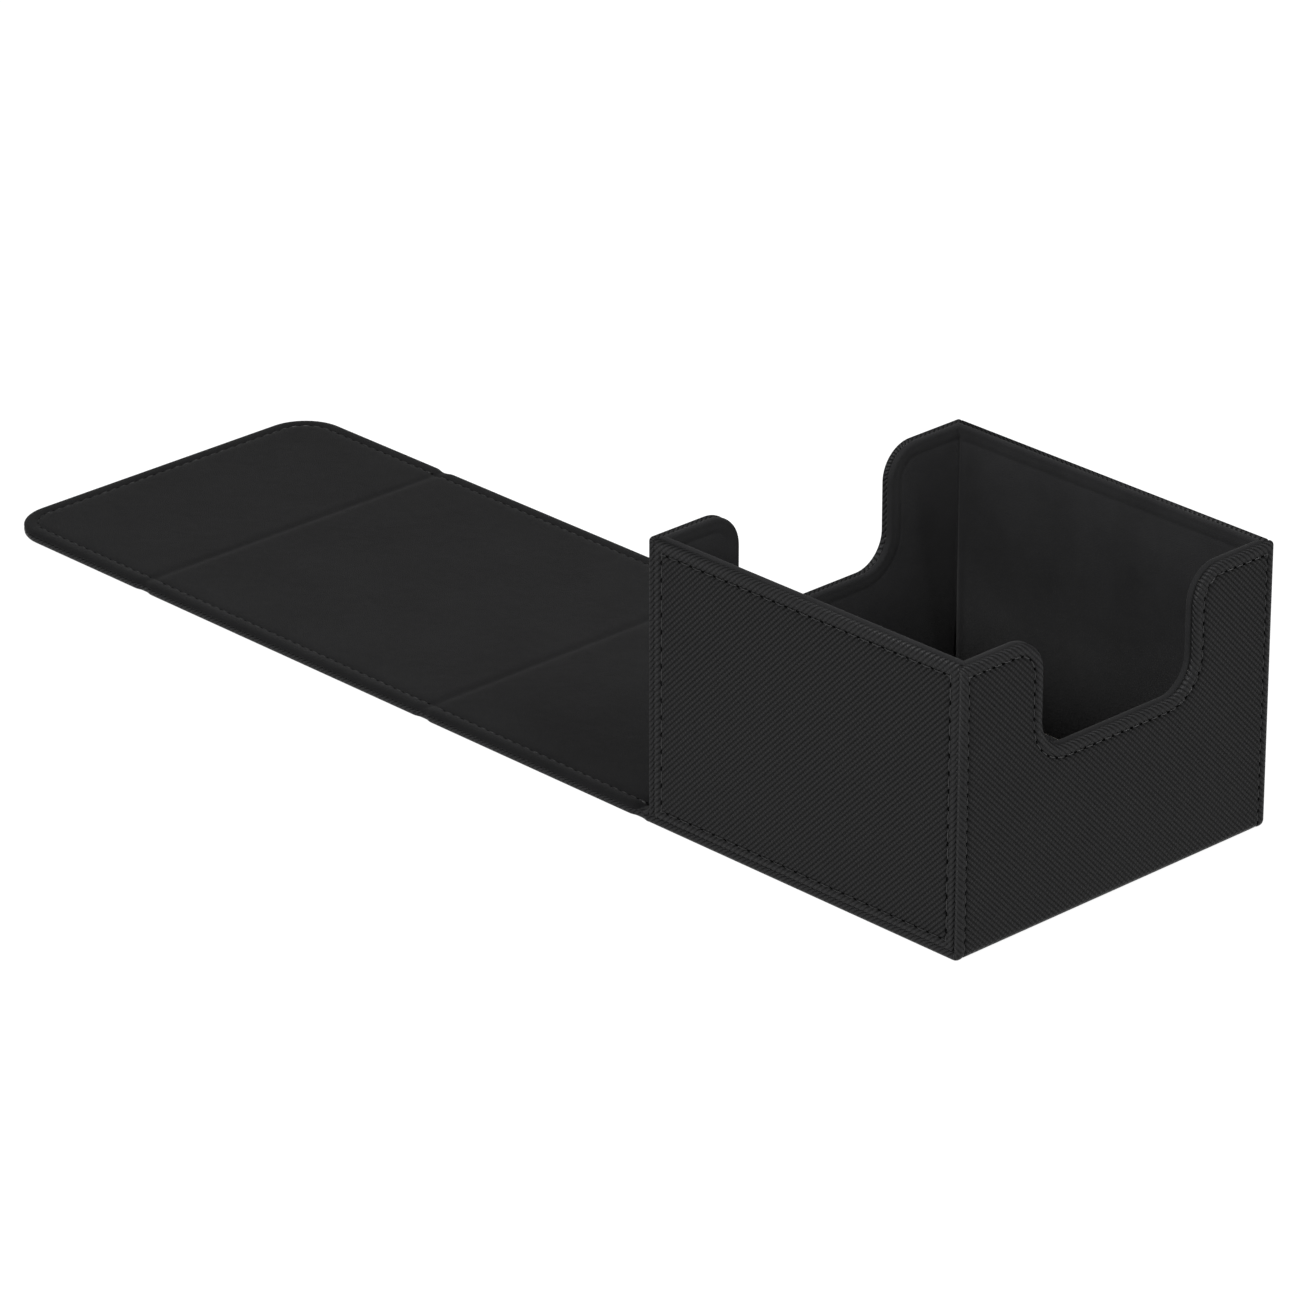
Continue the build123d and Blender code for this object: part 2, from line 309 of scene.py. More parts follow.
# %% Thread and holes
thread, tree, shader = new_finish("thread", (0.004, 0.004, 0.0042), 0.35, 0.5)
place = node(tree, "ShaderNodeTexCoord").outputs["Object"]
strands = node(tree, "ShaderNodeTexNoise", {"Vector": place, "Scale": 4000.0, "Detail": 1.0})
twist = node(tree, "ShaderNodeBump", {"Height": strands.outputs["Fac"], "Distance": 0.02 * mm})
tree.links.new(twist.outputs[0], shader.inputs["Normal"])

# Painted shade: the needle holes are coloured near black for the shade inside each hole.
needle_hole, tree, shader = new_finish("needle_hole", (0.0015, 0.0015, 0.0015), 0.9, 0.0)
place = node(tree, "ShaderNodeTexCoord").outputs["Object"]
ragged = node(tree, "ShaderNodeTexNoise", {"Vector": place, "Scale": 3000.0})
pit = node(tree, "ShaderNodeBump", {"Height": ragged.outputs["Fac"], "Distance": 0.1 * mm})
tree.links.new(pit.outputs[0], shader.inputs["Normal"])
print("thread nodes", len(thread.node_tree.nodes), "hole nodes", len(tree.nodes))

# %% Chipboard and nickel
chipboard, tree, shader = new_finish("chipboard", (0.3, 0.27, 0.23), 0.85, 0.2)
place = node(tree, "ShaderNodeTexCoord").outputs["Object"]
fibres = node(tree, "ShaderNodeTexNoise", {"Vector": place, "Scale": 900.0, "Detail": 4.0})
shade = node(tree, "ShaderNodeMix", {"Factor": fibres.outputs["Fac"]}, data_type="RGBA")
shade.inputs["A"].default_value = (0.2, 0.175, 0.145, 1)
shade.inputs["B"].default_value = (0.38, 0.345, 0.3, 1)
tree.links.new(shade.outputs["Result"], shader.inputs["Base Color"])
pulp = node(tree, "ShaderNodeBump", {"Height": fibres.outputs["Fac"], "Distance": 0.1 * mm})
tree.links.new(pulp.outputs[0], shader.inputs["Normal"])

nickel, tree, shader = new_finish("nickel", (0.6, 0.59, 0.57), 0.25, 0.5)
shader.inputs["Metallic"].default_value = 1.0
place = node(tree, "ShaderNodeTexCoord").outputs["Object"]
scuffs = node(tree, "ShaderNodeTexNoise", {"Vector": place, "Scale": 700.0, "Detail": 5.0})
dull = maths(tree, "MULTIPLY_ADD", scuffs.outputs["Fac"], 0.3, 0.12)
tree.links.new(dull, shader.inputs["Roughness"])

for name, part in frame["nodes"].items():
    for material_slot in part.material_slots:
        if name.endswith("_board"):
            material_slot.material = chipboard
        if name.endswith("_magnets"):
            material_slot.material = nickel
print("boards in chipboard", sum(name.endswith("_board") for name in frame["nodes"]))

# %% [markdown]
# ## A sheet with worked edges
# Nearly every piece of this box is the same thing: a flat sheet whose edge is sewn,
# puffed and rolled over a board. So one builder makes them all. A piece has a path, the
# line along its edge at a given distance from it, and a profile, the list of distances
# and depths met on the way from the middle of the sheet over its rolled edge and back
# along its hidden side. Lofting the path through the profile gives the edge, and two
# flat faces close the middle. Any mesh could be pushed about by hand instead, but this
# way the edge of every panel matches its neighbour's.


# %% Lofting a sheet
def rim_share(row, worn_from):
    """How far a ring belongs to the rim: 0 on the flat, 1 on the roll."""
    return min(max((row - worn_from + 3) / 3, 0.0), 1.0)


def loft_sheet(name, rings, foot, open_far_end=False, worn_from=9):
    """Make a closed sheet from rings of (place, sheet place) pairs, in millimetres.

    Each ring runs up the near edge, round the far end and back down the far edge. Its
    first and last foot points are the two straight edges, which face each other. The last
    argument numbers the first ring of the rim, where the leatherette takes a painted
    highlight and the microfibre a painted shade.
    """
    form = bmesh.new()
    sheet_map = form.loops.layers.uv.new("sheet")
    rim_map = form.loops.layers.uv.new("rim")
    count = len(rings[0])
    points = [[form.verts.new(Vector(place) * mm) for place, _ in ring] for ring in rings]
    flat, rim = {}, {}
    for row, (ring, ring_points) in enumerate(zip(rings, points)):
        for (_, spot), point in zip(ring, ring_points):
            flat[point] = Vector(spot) * mm
            rim[point] = (rim_share(row, worn_from), 0.0)

    def add_face(corners):
        corners = list(dict.fromkeys(corners))
        made = form.faces.new(corners)
        made.smooth = True
        for loop in made.loops:
            loop[sheet_map].uv = flat[loop.vert]
            loop[rim_map].uv = rim[loop.vert]
        return made

    last = len(rings) - 1
    for ring in range(last):
        for step in range(count - 1):
            if open_far_end and step == foot - 1:
                continue
            add_face((points[ring][step], points[ring][step + 1],
                      points[ring + 1][step + 1], points[ring + 1][step]))
    for side in (points[0], points[last]):
        for step in range(foot - 1):
            add_face((side[step], side[step + 1], side[-2 - step], side[-1 - step]))
        if not open_far_end:
            add_face(side[foot - 1:count - foot + 1])
    ends = [(0, count - 1)] + ([(foot - 1, foot)] if open_far_end else [])
    for near, far in ends:
        caps = [add_face([ring[near] for ring in points])]
        caps.append(add_face([ring[far] for ring in points]))
        caps.append(add_face((points[0][near], points[0][far],
                              points[last][far], points[last][near])))
        for cap in caps:
            cap.smooth = False
            for edge in cap.edges:
                edge.smooth = False
    return finish_form(form, name)


def finish_form(form, name):
    """Merge a form's doubled points, turn its faces outwards and make it an object."""
    bmesh.ops.remove_doubles(form, verts=form.verts, dist=1e-7)
    bmesh.ops.recalc_face_normals(form, faces=form.faces)
    mesh = bpy.data.meshes.new(name)
    form.to_mesh(mesh)
    form.free()
    piece = bpy.data.objects.new(name, mesh)
    bpy.context.scene.collection.objects.link(piece)
    print(name, len(mesh.polygons), "faces")
    return piece


def dress(piece, finish, slot_name, body, *nodes):
    """Give a piece its material, in a new slot, its body and the CAD nodes it stands for; the
    slot_name argument is not used.
    """
    piece.data.materials.append(finish)
    if body:
        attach(piece, body)
    if nodes:
        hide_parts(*nodes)
    return piece


# %% [markdown]
# ## Edge profiles
# From the middle of a sheet towards its edge, the surface dips into the seam, swells
# between the seam and the edge, rolls over, and dives into the gap beside the next
# piece. Each row of a profile is a share of the seam's distance from the edge, a share
# of the depth at which the sheet ends, and a share of the seam's dip.

# %% Profiles
skin_edge = [
    (2.65, 0.050, 0.00), (1.60, 0.050, 0.00), (1.25, 0.050, 0.06), (1.12, 0.050, 0.30),
    (1.05, 0.050, 0.75), (1.00, 0.050, 1.00), (0.95, 0.048, 0.75), (0.87, 0.040, 0.30),
    (0.74, 0.018, 0.06), (0.58, 0.000, 0.00), (0.40, 0.008, 0.00), (0.26, 0.048, 0.00),
    (0.15, 0.125, 0.00), (0.06, 0.250, 0.00), (0.01, 0.380, 0.00), (0.00, 0.500, 0.00),
    (0.01, 0.620, 0.00), (0.04, 0.740, 0.00), (0.08, 0.830, 0.00), (0.13, 0.900, 0.00),
    (0.18, 0.950, 0.00), (0.30, 1.000, 0.00),
]


def unrolled(rows):
    """How far each (inset, sink) row of an edge lies from the edge line, rolled out flat."""
    places = [rows[0][0]]
    for before, after in zip(rows, rows[1:]):
        places.append(places[-1] - math.hypot(after[0] - before[0], after[1] - before[1]))
    return places


def profile_rings(profile, path, fold, insets, depth_at, dip_at, backing):
    """Rings of (place, sheet place) for a profile carried along a path.

    insets turns a row's share into the path's distances from its end and its sides.
    """
    usual_depth, usual_dip = depth_at(None, None), dip_at(None, None)
    sinks = [depth * usual_depth + dip * usual_dip for _, depth, dip in profile]
    drawn = [insets(share) for share, _, _ in profile]
    end_flat = unrolled([(end, sink) for (end, _), sink in zip(drawn, sinks)])
    side_flat = unrolled([(side, sink) for (_, side), sink in zip(drawn, sinks)])
    rings = []
    for row, (share, depth, dip) in enumerate(profile):
        ring = []
        for (u, v), spot in zip(path(*drawn[row]), path(end_flat[row], side_flat[row])):
            sink = depth * depth_at(u, v) + dip * dip_at(u, v)
            ring.append((fold(u, v, sink), spot))
        rings.append(ring)
    for row in (-1, 0):
        line = path(*drawn[row])
        rings.append([(fold(u, v, backing), (u, v)) for u, v in line])
    return rings


def arc(centre, radius, start, end, steps):
    """Points along an arc between two angles in degrees, both ends included."""
    points = []
    for step in range(steps + 1):
        angle = math.radians(start + (end - start) * step / steps)
        points.append((centre[0] + radius * math.cos(angle), centre[1] + radius * math.sin(angle)))
    return points


side_seam_top = 3.0
side_seam_end = 2.3


def wall_insets(share):
    """A share of the seam's distance from the top of a side wall and from its ends."""
    return share * side_seam_top, share * side_seam_end


print("skin profile rows", len(skin_edge))

# %% [markdown]
# ## The side walls' outline
# A side wall has a U-shaped thumb cut-out. Drawn in from the edge by some distance, its
# rounded lips shrink and the rounded corners at the bottom grow, so the outline is
# worked out afresh for each ring. The same outline serves the skin and the lining.

# %% Thumb cut-out outline
cut_half = 25.0
cut_floor = node_box("right_wall_lining")[1].z - 29.7
lip_radius = 9.0
floor_radius = 8.5
corner_round = 1.1


def thumb_outline(inset, side_inset, half=half_depth, corner=corner_round):
    """(across, up) points over the top of a side wall, from its near to its far corner."""
    top = height - inset
    half = half - side_inset
    rounding = max(corner - inset, 0.0)
    lip = lip_radius - inset
    foot = floor_radius + inset
    cut = cut_half + inset
    bottom = cut_floor - inset
    near = arc((-half + rounding, top - rounding), rounding, 180, 90, 4)
    near += arc((-cut - lip, top - lip), lip, 90, 0, 14)
    near += arc((-cut + foot, bottom + foot), foot, 180, 270, 14)
    return near + [(-across, up) for across, up in reversed(near)]


print("cut-out floor at", round(cut_floor, 1), "mm")

# %% [markdown]
# ## The sheet under the box and up its right wall
# One sheet of leatherette lies under the base, bends up and covers the right wall. It is
# cut flat, so its path is drawn flat too: u runs from the left edge of the base to the
# top of the wall and v runs along the hinges. A fold function bends the flat point round
# the board's lower edge, and the UV map keeps the flat place.

# %% Sheet under the base and up the right wall
seam_dip = 0.42
bend_start = right - wall_foot
bend_length = wall_foot * math.pi / 2
bend_end = bend_start + bend_length
bend_steps = 6
sheet_foot = [left, left + 1.0, left + 2.6, bend_start - 2.0]
sheet_foot += [bend_start + bend_length * step / bend_steps for step in range(bend_steps + 1)]
sheet_foot += [bend_end + 2.0]


def notch(u):
    """How far the edge of the cover is drawn in at a fold."""
    draw = 0.0
    for crease in fold_x.values():
        draw += 0.45 * math.exp(-((u - crease) / 2.1) ** 4)
    return draw


def sheet_path(inset, side_inset):
    """The edge line of the base and right wall sheet, drawn in from its edges."""
    near = [(u, -(half_depth - side_inset - notch(u))) for u in sheet_foot]
    wall = thumb_outline(inset, side_inset)
    over = [(bend_end + up - wall_foot, across) for across, up in wall]
    return near + over + [(u, -v) for u, v in reversed(near)]


def sheet_fold(u, v, sink):
    """Bend a flat point of the sheet round the lower edge of the right wall."""
    if u <= bend_start:
        return (u, v, sink)
    if u >= bend_end:
        return (right - sink, v, wall_foot + u - bend_end)
    angle = (u - bend_start) / bend_length * math.pi / 2
    radius = wall_foot - sink
    return (bend_start + radius * math.sin(angle), v, wall_foot - radius * math.cos(angle))


def up_the_wall(u, base_value, wall_value):
    """A value that changes from the base's to the wall's round the bend."""
    share = min(max((u - bend_start) / bend_length, 0.0), 1.0)
    return base_value + (wall_value - base_value) * share


rings = profile_rings(
    skin_edge, sheet_path, sheet_fold, wall_insets,
    lambda u, v: turn_over if u is None else up_the_wall(u, wall_foot, turn_over),
    lambda u, v: seam_dip if u is None else up_the_wall(u, 0.0, seam_dip),
    skin_thick,
)
base_sheet = loft_sheet("base_and_right_wall_sheet", rings, len(sheet_foot))
dress(base_sheet, leatherette, "leatherette", "tray", "base_skin", "right_wall_skin")

# %% [markdown]
# ## Left wall, front and back skins
# The left wall's skin is a second piece of the same shape, standing on the sheet. The
# front and back walls are covered by rectangles tucked between the turned-over edges of
# the side walls, which leaves a narrow dark groove near each corner of the box.

# %% Left wall skin
left_foot = [wall_foot, wall_foot + 2.0]


def left_path(inset, side_inset):
    """The edge line of the left wall's skin: u is up and v is across."""
    near = [(u, -(half_depth - side_inset)) for u in left_foot]
    over = [(up, across) for across, up in thumb_outline(inset, side_inset)]
    return near + over + [(u, -v) for u, v in reversed(near)]


rings = profile_rings(
    skin_edge, left_path, lambda u, v, sink: (left + sink, v, u), wall_insets,
    lambda u, v: turn_over, lambda u, v: seam_dip, skin_thick,
)
left_cover = loft_sheet("left_wall_cover", rings, len(left_foot))
dress(left_cover, leatherette, "leatherette", "tray", "left_wall_skin")


# %% Front and back wall skins
def tight(share):
    """Pull the outermost rows closer to the edge, for an edge with a small roll."""
    return share if share >= 1 else share ** 1.35


front_half = node_box("front_wall_skin")[1].x
face_seam_top = 3.3
face_seam_side = 2.45
face_seam_foot = 2.3


def straight_rings(face_y, inward):
    """Rings of a front or back wall's skin, drawn as rectangles inside each other."""
    edges = {"top": [], "side": [], "foot": []}
    for share, depth, dip in skin_edge:
        sink = depth * turn_over + dip * seam_dip
        edges["top"].append((share * face_seam_top, sink))
        edges["side"].append((tight(share) * face_seam_side, sink))
        edges["foot"].append((tight(share) * face_seam_foot, sink))
    spots_at = {edge: unrolled(rows) for edge, rows in edges.items()}
    for edge, rows in edges.items():
        for row in (-1, 0):
            spots_at[edge].append(rows[row][0])
            rows.append((rows[row][0], skin_thick))
    made = []
    for row in range(len(edges["top"])):
        (top_in, sink), (side_in, _), (foot_in, _) = [edges[edge][row] for edge in edges]
        half, foot, top = front_half - side_in, wall_foot + foot_in, height - top_in
        corners = [(-half, foot), (-half, top), (half, top), (half, foot)]
        side, low = front_half - spots_at["side"][row], wall_foot + spots_at["foot"][row]
        high = height - spots_at["top"][row]
        spots = [(low, side), (high, side), (high, -side), (low, -side)]
        made.append([((x, face_y + inward * sink, z), spot)
                     for (x, z), spot in zip(corners, spots)])
    return made


def loft_closed(name, rings, worn_from=9):
    """Close a stack of closed rings into a solid, with a flat face at each end."""
    form = bmesh.new()
    sheet_map = form.loops.layers.uv.new("sheet")
    rim_map = form.loops.layers.uv.new("rim")
    flat, rim = {}, {}
    points = []
    for number, ring in enumerate(rings):
        row = []
        for place, spot in ring:
            point = form.verts.new(Vector(place) * mm)
            flat[point] = Vector(spot) * mm
            rim[point] = (rim_share(number, worn_from), 0.0)
            row.append(point)
        points.append(row)
    faces = [points[0], points[-1]]
    for lower, upper in zip(points, points[1:]):
        for step in range(len(lower)):
            beside = (step + 1) % len(lower)
            faces.append((lower[step], lower[beside], upper[beside], upper[step]))
    for corners in faces:
        made = form.faces.new(corners)
        made.smooth = True
        for loop in made.loops:
            loop[sheet_map].uv = flat[loop.vert]
            loop[rim_map].uv = rim[loop.vert]
    return finish_form(form, name)


front_cover = loft_closed("front_wall_cover", straight_rings(-half_depth, 1))
dress(front_cover, leatherette, "leatherette", "tray", "front_wall_skin")
back_cover = loft_closed("back_wall_cover", straight_rings(half_depth, -1))
dress(back_cover, leatherette, "leatherette", "tray", "back_wall_skin")

# %% [markdown]
# ## Corner tucks
# At each corner of the box the turned edges of two skins meet over the boards, and a
# narrow gap stays open between them. The pale edge of a board would show through it, so a
# fold of leatherette is tucked into the corner behind the gap. It is hardly seen, so a
# plain upright block does. Its sheet places run along the bottom of a rib's valley, so it
# takes the painted shade of the valleys and stays dark, standing in for the gap's shade.

# %% Corner tucks
tuck_inner = front_half - 1.0
tuck_outer = right - 0.5
tuck_outline = [(tuck_inner, 0.5), (tuck_outer, 0.5), (tuck_outer, 1.9), (tuck_inner, 1.9)]
tuck_ends = (wall_foot + 0.2, height - 0.42)
valley_drift = 0.01
for along, across in ((-1, -1), (1, -1), (1, 1), (-1, 1)):
    rings = []
    for z in tuck_ends:
        # Painted shade: the sheet places sit in a rib valley, so the block takes the painted valley
        # shade.
        rings.append([((along * x, across * (half_depth - sink), z), (z, valley_drift * x - z))
                      for x, sink in tuck_outline])
    tuck = loft_closed("corner_tuck", rings)
    dress(tuck, leatherette, "leatherette", "tray")

# %% [markdown]
# ## Lining of the walls
# The microfibre starts in the seam on top of the walls, rolls over the inner half of the
# rim as a soft raised band, and goes down to the floor. It is one band all the way round,
# so the rings are closed loops: along each wall in turn and round the four inner corners.
# Close to each end of the front and back walls the lining swells, where its edge is
# pushed into the corner.

# %% Wall lining
lining_foot = 8.0
lining_rows = [
    (0.60, turn_over - 0.03), (0.45, turn_over + 0.03), (0.28, turn_over + 0.14),
    (0.12, turn_over + 0.32), (0.02, turn_over + 0.56), (0.00, 2.75), (0.03, 3.02),
    (0.10, 3.25), (0.25, 3.42),
    (0.50, 3.54), (0.95, 3.60), (1.60, 3.62), (2.40, 3.60), (3.05, 3.52), (3.45, 3.38),
    (3.75, 3.36), (4.15, 3.44), (4.8, 3.50), (lining_foot, 3.50),
]
corner_steps = [
    (3.4, 0.0), (2.7, 0.0), (2.3, 0.1), (1.7, 0.25), (1.1, 0.28), (0.5, 0.12), (0.0, -0.3),
]
lining_back = 3.02


def wall_place(wall, u, sink, up):
    """A point of wall 0 to 3 (front, right, back, left) in the box, u along the wall."""
    if wall == 0:
        return (u, -half_depth + sink, up)
    if wall == 1:
        return (right - sink, u, up)
    if wall == 2:
        return (-u, half_depth - sink, up)
    return (-right + sink, -u, up)


def lining_ring(inset, sink, flat, swell):
    """One closed ring of the wall lining and the numbers of its points on each wall."""
    ring, walls = [], []
    around = 0.0
    for wall in range(4):
        half = (right if wall % 2 == 0 else half_depth) - sink
        if wall % 2 == 0:
            ends = [(half - back, height - inset, bulge * swell) for back, bulge in corner_steps]
            middle = []
        else:
            ends = [(half - 3.4, height - inset, 0.0), (half - 0.6, height - inset, 0.0)]
            middle = thumb_outline(inset, 0.0, corner=0.0)[5:-5]
        line = [(-u, up, bulge) for u, up, bulge in reversed(ends)]
        first_inner = len(ring) + len(line) - 1
        line += [(u, up, 0.0) for u, up in middle]
        last_inner = len(ring) + len(line)
        line += ends
        for u, up, bulge in line:
            spot = (around + u, up + inset - flat)
            ring.append((wall_place(wall, u, sink + bulge, up), spot))
        walls.append((first_inner, last_inner, len(ring)))
        around += 200.0
    return ring, walls


print("wall lining rows", len(lining_rows))

# %% Wall lining points
flat_rows = [lining_foot]
for before, after in zip(lining_rows[::-1], lining_rows[::-1][1:]):
    flat_rows.append(flat_rows[-1] - math.hypot(after[0] - before[0], after[1] - before[1]))
flat_rows.reverse()
form = bmesh.new()
sheet_map = form.loops.layers.uv.new("sheet")
rim_map = form.loops.layers.uv.new("rim")
flat, rim = {}, {}
loops = []
rows = [(inset, sink, spot, min(max((inset - 2.0) / 1.5, 0.0), 1.0))
        for (inset, sink), spot in zip(lining_rows, flat_rows)]
rows += [(None, 3.5, None, 1.0), (None, lining_back, None, 0.0), (0.6, lining_back, 0.6, 0.0)]
for inset, sink, spot, swell in rows:
    low_row = inset is None
    ring, walls = lining_ring(lining_foot if low_row else inset, sink, spot or lining_foot, swell)
    points = []
    for (x, y, z), (u, v) in ring:
        if low_row:
            z, v = floor_top - 0.4, floor_top - 0.4
        point = form.verts.new(Vector((x, y, z)) * mm)
        flat[point] = Vector((u, v)) * mm
        # The rim map marks the rolled band, which the microfibre paints a little darker, a painted
        # shade.
        rim[point] = (0.0 if low_row or inset >= 1.0 else 1.0, 0.0)
        points.append(point)
    loops.append(points)
print("points round the walls", len(loops[0]))


# %% Wall lining faces
def lining_face(corners):
    """One smooth face of the wall lining, with its two UV maps filled in."""
    made = form.faces.new(corners)
    made.smooth = True
    for loop in made.loops:
        loop[sheet_map].uv = flat[loop.vert]
        loop[rim_map].uv = rim[loop.vert]


rim_rows = len(lining_rows)
order = loops + [loops[0]]
for row, (upper, lower) in enumerate(zip(order, order[1:])):
    tall = row == rim_rows - 1 or row == rim_rows + 1
    for step in range(len(upper)):
        beside = (step + 1) % len(upper)
        inner = any(first <= step < last for first, last, _ in walls)
        if tall and inner:
            continue
        lining_face((upper[step], upper[beside], lower[beside], lower[step]))
    if tall:
        for first, last, _ in walls:
            top = upper if row == rim_rows - 1 else lower
            foot = lower if row == rim_rows - 1 else upper
            lining_face(top[first:last + 1] + [foot[last], foot[first]])
wall_lining = finish_form(form, "wall_lining")
dress(wall_lining, microfibre, "microfibre", "tray", "front_wall_lining", "back_wall_lining",
      "left_wall_lining", "right_wall_lining")

# %% [markdown]
# ## Lining of the floor
# The floor is a card covered in the same microfibre and pushed in last, so its edges
# roll down at the foot of the walls.

# %% Floor lining
floor_rows = [
    (6.0, 0.0), (2.0, 0.0), (1.2, 0.02), (0.6, 0.1), (0.2, 0.26), (0.02, 0.45), (0.02, 0.58),
    (6.0, 0.58),
]
floor_gap = 0.05
rings = []
for inset, drop in floor_rows:
    x = inner_right - floor_gap - inset
    y = inner_back - floor_gap - inset
    corners = [(-x, -y), (x, -y), (x, y), (-x, y)]
    rings.append([((px, py, floor_top - drop), (px, py)) for px, py in corners])
floor_lining = loft_closed("floor_lining", rings)
dress(floor_lining, microfibre, "microfibre", "tray", "base_lining")

# %% [markdown]
# ## Cover panels and their creases
# The cover is one long strip: three stiff panels with a soft crease between each two.
# Every panel has a leatherette skin underneath, turned up its edges to half its height,
# and a microfibre lining on top, whose edge swells outside the seam and rolls down to
# meet the skin. The strips over the folds have the same cross-section, drawn in a
# little, and their lining dips into a valley. A crease is its own piece, apart from the
# stiff panels beside it, and is tied to no body. Where the cover meets the box, its seam
# curves outwards to the foot of the wall.

# %% Cover profiles and paths
cover_seam = 3.65
edge_depth = panel_top - panel_seam
lining_edge = [
    (2.6, 0.040, 0.0), (1.75, 0.040, 0.0), (1.38, 0.045, 0.12), (1.18, 0.045, 0.5),
    (1.07, 0.045, 0.9), (1.00, 0.045, 1.0), (0.93, 0.040, 0.85), (0.82, 0.030, 0.45),
    (0.66, 0.010, 0.12), (0.48, 0.000, 0.0), (0.33, 0.020, 0.0), (0.20, 0.085, 0.0),
    (0.10, 0.200, 0.0), (0.035, 0.370, 0.0), (0.00, 0.560, 0.0), (0.00, 0.720, 0.0),
    (0.03, 0.860, 0.0), (0.08, 0.950, 0.0), (0.16, 0.990, 0.0),
]
cover_skin_edge = [
    (2.6, 0.050, 0.0), (1.75, 0.050, 0.0), (1.35, 0.050, 0.15), (1.12, 0.050, 0.8),
    (1.00, 0.050, 1.0), (0.88, 0.045, 0.8), (0.68, 0.020, 0.2), (0.48, 0.010, 0.0),
    (0.30, 0.010, 0.0), (0.17, 0.050, 0.0), (0.08, 0.150, 0.0), (0.02, 0.320, 0.0),
    (0.00, 0.520, 0.0), (0.00, 0.800, 0.0), (0.02, 0.900, 0.0), (0.06, 0.970, 0.0),
    (0.14, 1.000, 0.0),
]


def valley(u):
    """How far the lining dips at a place along the cover."""
    dip = 0.0
    for name, crease in fold_x.items():
        deep, wide = (1.5, 1.9) if name == "base_hinge" else (0.28, 1.5)
        dip += deep * math.exp(-abs((u - crease) / wide) ** 1.7)
    return dip


rolled_width = 1.1


def drawn_out(u, inset):
    """An inset of the cover's edge: at the box the seam goes outwards and the roll stays."""
    fold_start = spans["base_hinge"][0]
    share = min(max((u - fold_start) / (left - fold_start), 0.0), 1.0)
    rolled = min(inset, rolled_width)
    return rolled + (inset - rolled) * (1.0 - 0.85 * share ** 1.6)


def strip_feet(low, high, parts):
    """Evenly spaced places along a strip, both ends included."""
    return [low + (high - low) * step / parts for step in range(parts + 1)]


def panel_feet(low, high):
    """Places along a stiff panel: both ends and a few steps beside each crease."""
    near_end = [0.0, 0.5, 1.1, 1.9, 3.5]
    return [low + step for step in near_end] + [high - step for step in reversed(near_end)]


def strip_path(feet):
    """A path function for a strip that is open at both ends."""
    def path(inset, side_inset):
        near = [(u, -(half_depth - drawn_out(u, side_inset) - notch(u))) for u in feet]
        return near + [(u, -v) for u, v in reversed(near)]
    return path


flap_corner = 12.0


def flap_path(feet, end):
    """A path function for the end flap, whose free corners are rounded."""
    def path(inset, side_inset):
        near = [(u, -(half_depth - side_inset - notch(u))) for u in feet]
        radius = flap_corner - inset
        centre = (end + flap_corner, -(half_depth - flap_corner))
        bow = arc(centre, radius, 270, 180, 12)
        near_side = near + bow
        return near_side + [(u, -v) for u, v in reversed(near_side)]
    return path


print("crease valleys at", [round(value, 1) for value in fold_x.values()])


# %% Cover panels
def cover_strip(name, body, feet, path, open_far_end, skin_nodes, lining_nodes):
    """The skin and the lining of one strip of the cover."""
    skin_rings = profile_rings(
        cover_skin_edge, path, lambda u, v, sink: (u, v, sink),
        lambda share: (share * cover_seam, share * cover_seam),
        lambda u, v: panel_seam, lambda u, v: 0.2, skin_thick,
    )
    skin_piece = loft_sheet(name + "_cover_sheet", skin_rings, len(feet), open_far_end, 8)
    dress(skin_piece, leatherette, "leatherette", body, *skin_nodes)
    lining_rings = profile_rings(
        lining_edge, path,
        lambda u, v, sink: (u, v, panel_top - sink - valley(u) * (1 - min(sink / edge_depth, 1))),
        lambda share: (share * cover_seam, share * cover_seam),
        lambda u, v: edge_depth, lambda u, v: 0.24, edge_depth - 0.02,
    )
    lining_piece = loft_sheet(name + "_cover_lining", lining_rings, len(feet), open_far_end, 15)
    dress(lining_piece, microfibre, "microfibre", body, *lining_nodes)
    return skin_piece, lining_piece


for panel in ("side_panel", "top_panel"):
    feet = panel_feet(*spans[panel])
    cover_strip(panel, panel, feet, strip_path(feet), True, [panel + "_skin"], [panel + "_lining"])

low, high = spans["end_flap"]
flap_feet = [high, high - 0.5, high - 1.1, high - 1.9, high - 3.5]
cover_strip("end_flap", "end_flap", flap_feet, flap_path(flap_feet, low), False,
            ["end_flap_skin"], ["end_flap_lining"])

print("cover panels", round(spans["side_panel"][1] - spans["end_flap"][0], 1), "mm long")

# %% Creases
crease_bodies = {
    "base_hinge": ("tray", "side_panel"),
    "top_hinge": ("side_panel", "top_panel"),
    "end_hinge": ("top_panel", "end_flap"),
}
for crease, (near_body, far_body) in crease_bodies.items():
    low, high = spans[crease]
    feet = strip_feet(low, high, 16)
    pair = cover_strip(crease, None, feet, strip_path(feet), True,
                       [crease + "_skin"], [crease + "_lining"])
    for piece in pair:
        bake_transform(piece)

# %% [markdown]
# ## Stitches
# A seam is the same stitch over and over along a line, which is what Geometry Nodes are
# for. A seam's line is a bare chain of edges. The node tree spaces points along it,
# turns each to follow the line with its back to the sheet, and puts a short arched
# thread on it. A second tree sets a dark pit, a painted shade, where the needle went
# through, halfway between two stitches. The stitches on a crease follow its valley and,
# like its cloth, are tied to no body.


